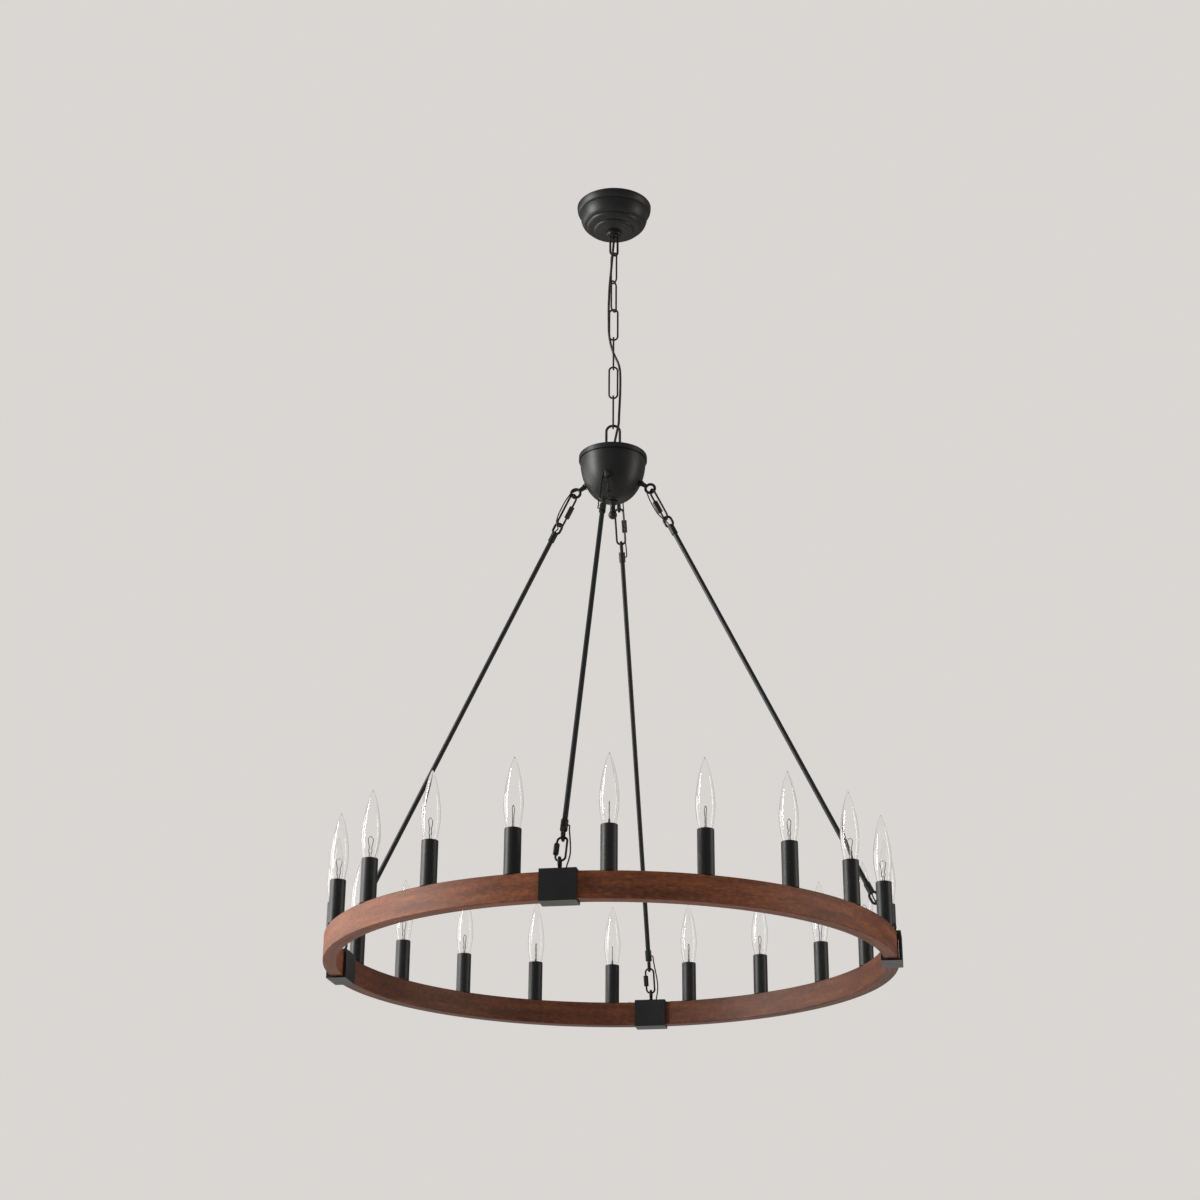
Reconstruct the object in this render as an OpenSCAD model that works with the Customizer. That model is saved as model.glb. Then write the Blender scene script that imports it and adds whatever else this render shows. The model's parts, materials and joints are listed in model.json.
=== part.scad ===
// Wagon wheel chandelier: a wooden ring with twenty candle lamps, hung by four rods from a
// domed hub on a chain. All sizes are in millimetres. The origin is on the ceiling, on the
// chain's axis, and +Z points up. Arm 1 is towards -Y, arm 2 +X, arm 3 +Y and arm 4 -X.

/* [Ring] */
// Outer diameter of the wooden ring
ring_d = 900; // [760:10:1100]
// Radial thickness of the ring's wood
ring_t = 21; // [20:0.5:30]
// Height of the ring's wood
ring_h = 40; // [34:1:60]
// Drop from the ceiling to the ring's top face
ring_drop = 1365.5; // [1250:0.5:1600]

/* [Brackets] */
// Width of a bracket along the ring
bracket_w = 53.5; // [45:0.5:70]
// Depth of a bracket across the ring
bracket_depth = 32; // [31:0.5:45]
// Thickness of a bracket's top and bottom plates
bracket_plate = 2.8; // [2:0.1:3.2]

/* [Candles] */
// Outside diameter of a candle sleeve
sleeve_d = 24.5; // [24:0.5:30]
// Height of a candle sleeve above the ring
sleeve_h = 68; // [60:1:100]
// Largest diameter of a bulb's glass
bulb_d = 28.4; // [24:0.2:34]
// Height of a bulb's glass above its sleeve
bulb_h = 107; // [80:1:115]

/* [Rods] */
// Diameter of a rod's tube
rod_d = 8; // [7:0.5:9]
// Distance of a hub eye from the chain's axis
hub_eye_r = 65; // [62:0.5:70]
// Drop from the ceiling to the hub eyes
hub_eye_drop = 571; // [569:0.5:573]
// Length of an upper link over its ends
quick_l = 66; // [56:1:80]
// Length of a lower link over its ends
lower_l = 47; // [44:1:60]

/* [Hub] */
// Drop from the ceiling to the top of the hub's lid
hub_drop = 504.5; // [502:0.5:507]
// Outer diameter of the lid
lid_d = 118; // [112:1:124]
// Depth of the bowl below the lid's top
bowl_depth = 88; // [85:1:91]

/* [Chain] */
// Length of a chain link over its ends
link_l = 65; // [64.5:0.1:65.5]
// Width of a chain link
link_w = 18; // [17:0.5:20]
// Wire diameter of a chain link
link_wire = 3.2; // [2.8:0.1:3.4]

/* [Canopy] */
// Diameter of the canopy at the ceiling
canopy_d = 134; // [126:1:150]
// Depth of the canopy without its collar
canopy_depth = 53.5; // [50:0.5:58]

/* [Cord] */
// Diameter of the supply cord
cord_d = 4.3; // [3.5:0.1:4.5]
// Diameter of a lamp wire
wire_d = 2.2; // [1.6:0.1:2.4]

/* [Hidden] */
$fn = 48;

black = "#26282A";
wood = "#5C3322";
glass = "#DDE3E6";
fit = 0.05;          // clearance of pieces that are screwed together
slack = 0.3;         // gap between pieces that move on each other
lap = 1;             // how far joined shapes run into each other, and cuts run out of them
arms = 4;
candles = 20;

// Crossbar, its screws and the nipple
bar = [112, 22, 2];
screw_spacing = 88.9;
screw_r = 2.1;
screw_up = 14;
screw_neck = 0.1;    // the shank is this much thinner than the thread, which starts at the ceiling
screw_gap = 0.2;
screw_head = [4, 2.6];
nipple_r = 4.85;
nipple_bore = 3.3;
nipple_end = 56;
nut_r = 8;
nut_h = 4;

// Canopy: each row of tiers is a radius and a depth, as shares of the canopy's
tiers = [[1, 0], [0.91, 0.265], [0.75, 0.72], [0.55, 0.865], [0.42, 0.965]];
sheet = 1.2;
canopy_hole = 11.5;
collar = [13.75, 11.3, 6];
collar_bevel = [0.8, 1.5];
boss_r = 11;
boss_top = 46;
boss_bottom = 62;
loop_wire = 4;
loop_cc = 7;
loop_drop = 99.8;    // drop to the canopy loop's lowest wire centre

// Chain: the angle of each link's width, from the lowest link up, and of the canopy's loop
chain_turn = 9;
link_angles = [90, 0, 90, 0, 55, 130];
loop_angle = 20;
link_cc = (link_w - link_wire) / 2;
link_span = link_l - link_wire;
link_pitch = link_span - link_wire - slack;
top_link_z = -loop_drop + loop_wire / 2 + slack + link_wire / 2;
function link_top(k) = top_link_z - (6 - k) * link_pitch;
chain_end = link_top(1) - link_span;

// Hub
hub_wire = 4.5;
hub_loop_cc = 11.75;
hub_loop_z = chain_end + link_wire / 2 + slack + hub_wire / 2 - hub_loop_cc;
base_plate = [23.5, 9, 5.5];
stud_end = 12;
lid_skirt = 10;
lid_corner = [3, 2];
skirt_wall = 1.2;
bowl_wall = 1.5;
bowl_gap = 0.8;
bowl_r = lid_d / 2 - skirt_wall - bowl_gap;
bowl_power = 2.2;
bowl_steps = 15;
tie_r = 3;
tie_in_stud = 3;
finial_bore = 20;
ball_r = 7.5;
ball_drop = 24;
finial_outline = [[0, -0.3], [9, -0.3], [9, -1.6], [6.5, -3], [4.6, -6], [4.2, -10], [5, -15],
    [5, -20], [0, -20]];
eye_pitch = 35;
eye_cc = 8;
eye_wire = 4.8;
shank_out = 21.8;
shank_in = 7;
wall_cut = 24;
eye_washer = [5.4, 2, 1.6];
eye_nut = [4.6, 3];
eye_neck = [3.4, 4.7];

// Rods and their links: distances along an arm's line start at the hub eye
quick_w = 18.4;
quick_wire = 3.5;
quick_turn = [0, 28, 180, 152];
quick_nut = [4.6, 22];
lower_w = 17.5;
lower_wire = 3.2;
lower_nut = [4.2, 18];
rod_eye_cc = 6.4;
rod_eye_wire = 4.2;
rod_eye_l = 24;
ferrule = [5.5, 18];
ferrule_lap = 4;
tube_bore = 2.6;
tube_gap = 1.2;
wire_hole_in = 4;
wire_hole = 1.5;
bracket_eye_cc = 7.25;
bracket_eye_wire = 4;
bracket_eye_up = 14.5;
upper_side = [1, 1, 1, -1]; // the side of each arm that its upper wire is on
lower_side = [1, 1, -1, 1];
ring_mid = (ring_d - ring_t) / 2;
arm_x = ring_mid - hub_eye_r;
arm_z = ring_drop - bracket_eye_up - hub_eye_drop;
arm_l = norm([arm_x, arm_z]);
lean = atan2(arm_x, arm_z);
quick_top = eye_cc - eye_wire / 2 - slack - quick_wire / 2;
quick_end = quick_top + quick_l - quick_wire;
rod_top = quick_end - quick_wire / 2 - slack - rod_eye_wire / 2 + rod_eye_cc;
lower_end = arm_l - (bracket_eye_cc - bracket_eye_wire / 2 - slack - lower_wire / 2);
lower_top = lower_end - lower_l + lower_wire;
rod_end = lower_top + lower_wire / 2 + slack + rod_eye_wire / 2 - rod_eye_cc;

// Ring, covers and brackets
wood_edge = 1;
groove = [9, 12];
cover = [16, 1.2];
cover_gap = 0.15;
joint_gap = 0.4;
bracket_wall = 4.4;
bracket_gap = 0.3;
bracket_top = bracket_gap + bracket_plate;
bracket_screw_x = 15.5;
cover_screw_x = 38;
small_screw = [1.6, 3.4, 2, 22];
small_head = 0.6;    // share of a head's size that stays straight or flat
eye_stem = [2, 10];
eye_base = 3.4;
eye_stem_nut = [3.9, 2.5];
hole_gap = 0.1;
wire_in = 9;         // distance of a lamp wire from the middle of the bracket that it goes into

// Candles: heights are above the ring's top
sleeve_wall = 0.8;
foot = [8, 2];
stem_r = 3;
stem_bore = 2;
stem_down = 6;
stem_nut = [4.2, 3];
cup = [10.3, 7.1, 24, 60];
cup_neck = [4, 4, 3]; // radius, height of the taper and thickness of the cup's floor
cap = [6.2, 44, 61.9];
cap_foot = [2, 4.5]; // height and radius of the contact and of the shoulder above it
glass_stem = [1.6, 26, 28];
glass_foot = 62;
glass_wall = 0.8;
// Outline of a bulb's glass from its tip: shares of its height and of its largest radius
bulb_outline = [[0, 0.03], [0.02, 0.11], [0.05, 0.21], [0.09, 0.32], [0.13, 0.42], [0.19, 0.54],
    [0.26, 0.66], [0.34, 0.78], [0.43, 0.89], [0.52, 0.97], [0.61, 1], [0.7, 0.98], [0.79, 0.9],
    [0.88, 0.78], [0.95, 0.68], [1, 0.6]];

// Routes, in the frame of the chain for the cord, and of an arm for the lamp wires
cord_route = [[0, 0, -8], [0, 0, -35], [0, 0, -56], [-0.2, -0.8, -67], [-0.8, -3, -80],
    [-1.6, -5.2, -92], [-2.4, -5.8, -103], [-3.4, -5.4, -116], [-4.6, -4.6, -131], [-6, -2.4, -146],
    [-7.2, -0.6, -160], [-8, 0, -175], [-8.4, -1.4, -193], [-8.8, -3.9, -207], [-8.8, -5, -222],
    [-8.4, -5.4, -255], [-7.4, -5, -270], [-4.6, -3, -286], [0, -1, -301], [4.6, -0.4, -312],
    [8.6, -0.8, -322], [11.3, -1, -334], [12.2, -1, -350], [12.2, -1, -375], [11.4, -2, -400],
    [10.4, -4, -425], [9.6, -6.4, -445], [6, -9.2, -465], [2.6, -10.5, -485], [1.5, -10.6, -503],
    [1.5, -10.6, -520], [1.5, -10.6, -535]];
lid_hole = [1.5, -10.6];
// Each point is across the rod, along the ring and down the arm's line from the hub eye. The
// middle of an upper wire's route has a row for each arm.
upper_start = [[-13.7, -8.5, -24.4], [-9.3, -8.5, -16.6], [-6, -8.6, -6]];
upper_middle = [
    [[-4, -9.4, 5], [-3, -9.8, 20], [-3, -9.8, 37], [-3, -9.8, 54], [-3.6, -9.2, 66]],
    [[-8, -9.4, 5], [-10.5, -9.6, 20], [-11, -9.8, 37], [-10, -9.6, 54], [-6.6, -9.2, 66]],
    [[-5.6, -8.8, 5], [-6.8, -8.8, 20], [-7, -8.8, 37], [-6.4, -8.6, 54], [-5, -8.6, 66]],
    [[3.2, -9.6, 5], [6.6, -9.6, 20], [7.2, -9.6, 37], [6.4, -9.6, 54], [3, -9.2, 66]]];
upper_end = [[-3.8, -8.8, 74], [-2.2, -8.6, 80], [-0.8, -8.4, 85.5], [-0.2, -7.4, 88.1], [0, -4.6, 89.1]];
function upper_route(i) = concat(upper_start, upper_middle[i - 1], upper_end);
// Each point is across the ring, along the ring and up from its top face
lower_route = [[0, 9, -6], [0, 9, 2], [-0.5, 9.8, 9], [-3.5, 11.8, 18], [-8, 13.2, 29], [-13.5, 12.4, 41],
    [-19, 10.9, 52], [-24, 9.2, 63], [-26.5, 8.3, 69.7], [-29, 8, 74.9], [-30, 7.1, 77],
    [-30.4, 4.6, 77.8]];

// ---- Shapes that several pieces share ----

// A round wire bent to an arc of the given radius in the XY plane, from +X
module bent_wire(r, wire, angle) {
    rotate_extrude(angle = angle) translate([r, 0]) circle(d = wire);
}

// A long link in the XZ plane: two straight sides and two half rings
module wire_link(length, width, wire) {
    r = (width - wire) / 2;
    half = (length - wire) / 2 - r;
    for (s = [-1, 1]) {
        translate([s * r, 0, -half]) cylinder(h = 2 * half, d = wire);
        translate([0, 0, s * half]) rotate([s * 90, 0, 0]) bent_wire(r, wire, 180);
    }
}

// A long link whose one side is parted in the middle and closed by a sleeve nut
module screw_link(length, width, wire, nut) {
    side = (width - wire) / 2;
    difference() {
        wire_link(length, width, wire);
        translate([side, 0, 0]) cube([2 * wire, 2 * wire, wire], center = true);
    }
    translate([side, 0, -nut[1] / 2]) difference() {
        cylinder(h = nut[1], r = nut[0], $fn = 6);
        translate([0, 0, -lap]) cylinder(h = nut[1] + 2 * lap, d = wire + 2 * fit);
    }
}

// A hexagon nut with its lower face at z = 0
module hex_nut(r, h, bore) {
    difference() {
        cylinder(h = h, r = r, $fn = 6);
        translate([0, 0, -lap]) cylinder(h = h + 2 * lap, r = bore);
    }
}

// Smooth points through a list of points, with a number of steps between each two
function pull(p, a, b, c, d, t) = 0.5 * (2 * b + (c - a) * t + (2 * a - 5 * b + 4 * c - d) * t * t
    + (3 * b - a - 3 * c + d) * t * t * t);
function smooth(p, steps) = let (n = len(p) - 1) [
    for (i = [0:n - 1], k = [0:steps - 1])
        pull(p, p[max(i - 1, 0)], p[i], p[i + 1], p[min(i + 2, n)], k / steps),
    p[n]];
function unit(v) = v / norm(v);

// A tube of the given diameter along points, square to them. No stretch runs along side.
module tube(points, d, sides, side) {
    n = len(points) - 1;
    rings = [for (i = [0:n]) let (
        way = unit(points[min(i + 1, n)] - points[max(i - 1, 0)]),
        a = unit(cross(way, side)),
        b = cross(a, way))
        for (k = [0:sides - 1])
            points[i] + d / 2 * (cos(360 * k / sides) * a + sin(360 * k / sides) * b)];
    walls = [for (i = [0:n - 1], k = [0:sides - 1]) let (
        p = i * sides + k, q = i * sides + (k + 1) % sides)
        each [[p, p + sides, q], [q, p + sides, q + sides]]];
    ends = [[for (k = [0:sides - 1]) k], [for (k = [sides - 1:-1:0]) n * sides + k]];
    polyhedron(points = rings, faces = concat(walls, ends));
}

// Children drawn along +X are repeated towards the four arms
module each_arm() {
    for (i = [1:arms]) to_arm(i) children();
}

module to_arm(i) {
    rotate([0, 0, 90 * (i - 2)]) children();
}

// Children on the other side of an arm where the side is -1
module on_side(side) {
    mirror([0, side < 0 ? 1 : 0, 0]) children();
}

// The frame of an arm's line: the origin is the hub eye's centre and -Z runs down the rod
module on_line() {
    translate([hub_eye_r, 0, -hub_eye_drop]) rotate([0, -lean, 0]) children();
}

// The frame of a candle: the origin is on the ring's top face
module to_candle(k) {
    rotate([0, 0, -90 + 360 / candles * (k - 0.5)]) translate([ring_mid, 0, -ring_drop]) children();
}

// ---- Ceiling ----

module crossbar() color("silver") difference() {
    translate([0, 0, -bar[2] / 2]) cube(bar, center = true);
    translate([0, 0, -bar[2] - lap]) cylinder(h = bar[2] + 2 * lap, r = nipple_r + fit);
    for (s = [-1, 1]) translate([s * screw_spacing / 2, 0, -bar[2] - lap])
        cylinder(h = bar[2] + 2 * lap, r = screw_r + screw_gap);
}

module ceiling_screws() color("silver") {
    for (s = [-1, 1]) translate([s * screw_spacing / 2, 0, 0]) {
        cylinder(h = screw_up, r = screw_r);
        translate([0, 0, -bar[2] - lap]) cylinder(h = bar[2] + 2 * lap, r = screw_r - screw_neck);
        translate([0, 0, -bar[2] - screw_head[1]]) cylinder(h = screw_head[1], r = screw_head[0]);
    }
}

module threaded_nipple() color("silver") {
    translate([0, 0, -nipple_end]) difference() {
        cylinder(h = nipple_end, r = nipple_r);
        translate([0, 0, -lap]) cylinder(h = nipple_end + 2 * lap, r = nipple_bore);
    }
    translate([0, 0, -bar[2] - nut_h]) hex_nut(nut_r, nut_h, nipple_r + fit);
}

// The boss holds the nipple, and the cord comes out of it between the loop's legs
module canopy_loop() color(black) rotate([0, 0, chain_turn]) {
    difference() {
        translate([0, 0, -boss_bottom]) cylinder(h = boss_bottom - boss_top, r = boss_r);
        translate([0, 0, -nipple_end]) cylinder(h = nipple_end, r = nipple_r + fit);
        translate([0, 0, -boss_bottom - lap]) cylinder(h = boss_bottom, r = nipple_bore);
    }
    rotate([0, 0, loop_angle]) translate([0, 0, -loop_drop + loop_cc]) {
        rotate([-90, 0, 0]) bent_wire(loop_cc, loop_wire, 180);
        for (s = [-1, 1]) translate([s * loop_cc, 0, 0])
            cylinder(h = loop_drop - loop_cc - boss_bottom + lap, d = loop_wire);
    }
}

// ---- Canopy ----

// Each tier is a quarter of an ellipse, from upright to level
function tier_points(r, depth, hole) = [
    for (i = [0:len(tiers) - 1], a = [0:15:90]) let (
        next = i < len(tiers) - 1 ? [tiers[i + 1][0] * r, tiers[i + 1][1] * depth] : [hole, depth],
        here = [tiers[i][0] * r, tiers[i][1] * depth])
        if (a > 0 || i == 0)
            [next[0] + (here[0] - next[0]) * cos(a), -here[1] - (next[1] - here[1]) * sin(a)]];

module canopy() color(black) {
    outer = tier_points(canopy_d / 2, canopy_depth, canopy_hole);
    inner = [for (p = outer) [max(p[0] - sheet, canopy_hole), min(p[1] + sheet, 0)]];
    last = len(inner) - 1;
    inner_back = [for (i = [last:-1:0]) if (inner[i][1] < 0) inner[i]];
    rotate_extrude() polygon(concat(outer, inner_back, [[canopy_d / 2 - sheet, 0]]));
}

module canopy_collar() color(black) translate([0, 0, -canopy_depth - fit]) rotate_extrude()
    polygon([[collar[1], 0], [collar[0], 0], [collar[0], collar_bevel[1] - collar[2]],
        [collar[0] - collar_bevel[0], -collar[2]], [collar[1], -collar[2]]]);

// ---- Chain ----

module chain_link(k) color(black) rotate([0, 0, chain_turn + link_angles[k - 1]])
    translate([0, 0, link_top(k) - link_span / 2]) wire_link(link_l, link_w, link_wire);

// ---- Hub ----

// A bent rod on a flat foot, whose stud goes through the lid
module hub_loop() color(black) rotate([0, 0, chain_turn]) {
    foot_top = base_plate[2] - hub_drop;
    translate([0, 0, hub_loop_z]) rotate([90, 0, 0]) bent_wire(hub_loop_cc, hub_wire, 180);
    for (s = [-1, 1]) translate([s * hub_loop_cc, 0, foot_top - lap])
        cylinder(h = hub_loop_z - foot_top + lap, d = hub_wire);
    translate([0, 0, -hub_drop]) linear_extrude(base_plate[2]) {
        square([base_plate[0], base_plate[1]], center = true);
        for (s = [-1, 1]) translate([s * base_plate[0] / 2, 0]) circle(d = base_plate[1]);
    }
    difference() {
        translate([0, 0, -hub_drop - stud_end]) cylinder(h = stud_end + lap, r = nipple_r);
        translate([0, 0, -hub_drop - stud_end - lap]) cylinder(h = tie_in_stud + 2 * lap, r = tie_r + fit);
    }
    translate([0, 0, -hub_drop - bowl_wall - nut_h - fit]) hex_nut(nut_r, nut_h, nipple_r + fit);
}

module hub_lid() color(black) {
    r = lid_d / 2;
    rim = [for (a = [0:22.5:90]) [r - lid_corner[0] * (1 - sin(a)), lid_corner[1] * (cos(a) - 1)]];
    difference() {
        translate([0, 0, -hub_drop]) rotate_extrude() polygon(concat([[nipple_r + screw_gap, 0]], rim,
            [[r, -lid_skirt], [r - skirt_wall, -lid_skirt], [r - skirt_wall, -bowl_wall],
            [nipple_r + screw_gap, -bowl_wall]]));
        rotate([0, 0, chain_turn]) translate([lid_hole[0], lid_hole[1], -hub_drop - lid_skirt])
            cylinder(h = 2 * lid_skirt, r = cord_d / 2 + slack);
    }
}

// The bowl's outside: its radius falls off as a power of the depth
function bowl_at(share) = bowl_r * pow(1 - pow(share, bowl_power), 1 / bowl_power);

module hub_bowl() color(black) difference() {
    top = bowl_wall + slack;
    shares = [for (i = [0:bowl_steps]) sin(90 / bowl_steps * i)];
    outer = [for (s = shares) [bowl_at(s), -top - (bowl_depth - top) * s]];
    inner = [for (i = [bowl_steps:-1:0])
        [max(bowl_at(shares[i]) - bowl_wall, 0), -top - (bowl_depth - top - bowl_wall) * shares[i]]];
    translate([0, 0, -hub_drop]) rotate_extrude() polygon(concat(outer, inner));
    translate([0, 0, -hub_drop - bowl_depth - lap]) cylinder(h = 2 * lap + bowl_wall, r = tie_r + screw_gap);
    for (i = [1:arms]) to_arm(i) eye_frame() translate([0, 0, -shank_out - wall_cut / 2]) {
        cylinder(h = wall_cut, d = eye_wire + 2 * screw_gap);
        translate([0, upper_side[i - 1] * upper_start[0][1], 0]) cylinder(h = wall_cut, r = wire_hole);
    }
}

// The rod is screwed into the loop's stud above and into the finial below
module hub_tie_rod() color("silver") {
    top = hub_drop + stud_end - tie_in_stud;
    bottom = hub_drop + bowl_depth + finial_bore;
    translate([0, 0, -bottom]) cylinder(h = bottom - top, r = tie_r);
}

// A turned collar and neck on a ball, which holds the bowl up against the lid
module finial() color(black) translate([0, 0, -hub_drop - bowl_depth]) difference() {
    union() {
        rotate_extrude() polygon(finial_outline);
        translate([0, 0, -ball_drop]) sphere(r = ball_r);
    }
    translate([0, 0, -finial_bore - fit]) cylinder(h = finial_bore + lap, r = tie_r + fit);
}

// The frame of a hub eye: its centre, with +Z out of the bowl along the shank
module eye_frame() {
    translate([hub_eye_r, 0, -hub_eye_drop]) rotate([0, 90 + eye_pitch, 0]) children();
}

// Each eye is a ring on a shouldered shank, with a washer outside the bowl and a nut inside it
module hub_eyes() color(black) each_arm() eye_frame() {
    rotate([90, 0, 0]) rotate_extrude() translate([eye_cc, 0]) circle(d = eye_wire);
    translate([0, 0, -shank_out - shank_in]) {
        cylinder(h = shank_out + shank_in - eye_cc, d = eye_wire);
        cylinder(h = eye_nut[1], r = eye_nut[0], $fn = 6);
    }
    translate([0, 0, eye_washer[2] - shank_out]) {
        cylinder(h = eye_washer[1], r = eye_washer[0]);
        cylinder(h = shank_out - eye_washer[2] - eye_cc, r1 = eye_neck[1], r2 = eye_neck[0]);
    }
}

// ---- Rods and their links ----

module quick_link(i) color(black) to_arm(i) on_line()
    translate([0, 0, -(quick_top + quick_end) / 2]) rotate([0, 0, 90 + quick_turn[i - 1]])
        screw_link(quick_l, quick_w, quick_wire, quick_nut);

// A long eye with its ferrule, which a tube goes into. The origin is where a link hangs in the
// eye. The ferrule's side has a hole for a wire.
module rod_fitting() {
    start = rod_eye_cc + rod_eye_wire / 2 - rod_eye_l;
    translate([0, 0, start + rod_eye_l / 2])
        wire_link(rod_eye_l, 2 * rod_eye_cc + rod_eye_wire, rod_eye_wire);
    difference() {
        translate([0, 0, start + ferrule_lap - ferrule[1]]) cylinder(h = ferrule[1], r = ferrule[0]);
        translate([0, 0, start + ferrule_lap - ferrule[1] - lap])
            cylinder(h = ferrule[1] - ferrule_lap, d = rod_d + 2 * fit);
        translate([0, 0, start - tube_gap - wire_hole_in]) rotate([90, 0, 0])
            cylinder(h = 2 * ferrule[0], r = wire_hole);
    }
}

// A tube with an eye fitting pressed on each end
module rod(i) color(black) to_arm(i) on_line() {
    tube_in = rod_eye_l - rod_eye_cc - rod_eye_wire / 2 + tube_gap;
    tube_start = rod_top + tube_in;
    tube_end = rod_end - tube_in;
    translate([0, 0, -rod_top]) on_side(upper_side[i - 1]) rod_fitting();
    translate([0, 0, -rod_end]) on_side(lower_side[i - 1]) rotate([180, 0, 0]) rod_fitting();
    translate([0, 0, -tube_end]) difference() {
        cylinder(h = tube_end - tube_start, d = rod_d);
        translate([0, 0, -lap]) cylinder(h = tube_end - tube_start + 2 * lap, r = tube_bore);
        translate([0, 0, wire_hole_in]) rotate([-90 * lower_side[i - 1], 0, 0])
            cylinder(h = rod_d, r = wire_hole);
        translate([0, 0, tube_end - tube_start - wire_hole_in]) rotate([90 * upper_side[i - 1], 0, 0])
            cylinder(h = rod_d, r = wire_hole);
    }
}

module lower_links() color(black) for (i = [1:arms]) to_arm(i) on_line()
    translate([0, 0, -(lower_top + lower_end) / 2]) rotate([0, 0, -90 * lower_side[i - 1]])
        screw_link(lower_l, lower_w, lower_wire, lower_nut);

// ---- Ring ----

function arc_angle(length) = length / ring_mid * 180 / PI;

// Places on the ring's top, at a distance along it from each bracket's middle
module beside_brackets(distance) {
    each_arm() for (s = [-1, 1]) rotate([0, 0, s * arc_angle(distance)])
        translate([ring_mid, 0, -ring_drop]) children();
}

// A quarter of the ring, with a wire groove and a rebate for its cover
module rim_segment(i) color(wood) difference() {
    gap = arc_angle(joint_gap / 2);
    half = ring_t / 2;
    rebate = [cover[0] / 2 + cover_gap, cover[1] + fit];
    section = [[-half, -wood_edge], [-half, wood_edge - ring_h], [wood_edge - half, -ring_h],
        [half - wood_edge, -ring_h], [half, wood_edge - ring_h], [half, -wood_edge],
        [half - wood_edge, 0], [rebate[0], 0], [rebate[0], -rebate[1]],
        [groove[0] / 2, -rebate[1]], [groove[0] / 2, -groove[1]], [-groove[0] / 2, -groove[1]],
        [-groove[0] / 2, -rebate[1]], [-rebate[0], -rebate[1]], [-rebate[0], 0],
        [wood_edge - half, 0]];
    to_arm(i) rotate([0, 0, gap]) translate([0, 0, -ring_drop]) rotate_extrude(angle = 90 - 2 * gap)
        translate([ring_mid, 0]) polygon(section);
    for (x = [bracket_screw_x, cover_screw_x]) beside_brackets(x)
        translate([0, 0, -small_screw[3] - lap])
            cylinder(h = small_screw[3] + 2 * lap, r = small_screw[0] + fit);
}

module rim_covers() color(black) difference() {
    gap = arc_angle(bracket_w / 2 + slack);
    each_arm() rotate([0, 0, gap]) translate([0, 0, -ring_drop - cover[1]])
        rotate_extrude(angle = 90 - 2 * gap) translate([ring_mid - cover[0] / 2, 0]) square(cover);
    for (k = [1:candles]) to_candle(k) translate([0, 0, -stem_down])
        cylinder(h = 2 * stem_down, r = stem_r + hole_gap);
    beside_brackets(cover_screw_x) translate([0, 0, -stem_down])
        cylinder(h = 2 * stem_down, r = small_screw[0] + hole_gap);
}

// Each bracket is a box section round the joint of two segments
module brackets() color(black) for (i = [1:arms]) to_arm(i) difference() {
    translate([ring_mid - bracket_depth / 2, -bracket_w / 2, -ring_drop - ring_h - bracket_top])
        cube([bracket_depth, bracket_w, ring_h + 2 * bracket_top]);
    translate([ring_mid - bracket_depth / 2 + bracket_wall, -bracket_w, -ring_drop - ring_h - bracket_gap])
        cube([bracket_depth - 2 * bracket_wall, 2 * bracket_w, ring_h + 2 * bracket_gap]);
    translate([ring_mid, 0, -ring_drop]) {
        cylinder(h = bracket_top + lap, r = eye_stem[0] + hole_gap);
        translate([0, lower_side[i - 1] * wire_in, 0]) cylinder(h = bracket_top + lap, r = wire_hole);
    }
    for (s = [-1, 1]) rotate([0, 0, s * arc_angle(bracket_screw_x)])
        translate([ring_mid, 0, -ring_drop]) cylinder(h = bracket_top + lap, r = small_screw[0] + hole_gap);
}

// Each eye stands on a bracket, with its stem and nut below the bracket's top
module bracket_eyes() color(black) each_arm() translate([ring_mid, 0, bracket_eye_up - ring_drop]) {
    neck_z = bracket_top - bracket_eye_up;
    rotate([90, 0, 0]) rotate_extrude() translate([bracket_eye_cc, 0]) circle(d = bracket_eye_wire);
    translate([0, 0, neck_z]) cylinder(h = -neck_z - bracket_eye_cc, r = eye_base);
    translate([0, 0, neck_z - eye_stem[1]]) cylinder(h = eye_stem[1] + lap, r = eye_stem[0]);
    translate([0, 0, neck_z - bracket_plate - eye_stem_nut[1] - hole_gap])
        hex_nut(eye_stem_nut[0], eye_stem_nut[1], eye_stem[0] - hole_gap);
}

// A round-headed wood screw, whose head stands at the given height above the ring's top
module small_screw_at(lift) translate([0, 0, lift]) {
    head = small_screw[2];
    translate([0, 0, head - small_screw[3]]) cylinder(h = small_screw[3] - head + lap, r = small_screw[0]);
    rotate_extrude() polygon([[0, 0], [small_screw[1], 0], [small_screw[1], small_head * head],
        [small_head * small_screw[1], head], [0, head]]);
}

module bracket_screws() color("dimgray") {
    beside_brackets(bracket_screw_x) small_screw_at(bracket_top);
    beside_brackets(cover_screw_x) small_screw_at(0);
}

// ---- Candles ----

// A stem nutted through the cover carries a cup, which takes the bulb's cap
module lamp_sockets() color("#3A3A3A") for (k = [1:candles]) to_candle(k) rotate_extrude() polygon([
    [stem_bore, -stem_down], [stem_r, -stem_down], [stem_r, -cover[1] - stem_nut[1]],
    [stem_nut[0], -cover[1] - stem_nut[1]], [stem_nut[0], -cover[1] - fit],
    [stem_r, -cover[1] - fit], [stem_r, fit], [foot[0], fit], [foot[0], foot[1]],
    [cup_neck[0], foot[1]], [cup_neck[0], cup[2] - cup_neck[1]], [cup[0], cup[2]], [cup[0], cup[3]],
    [cup[1], cup[3]], [cup[1], cup[2] + cup_neck[2]], [stem_bore, cup[2] + cup_neck[2]]]);

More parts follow.
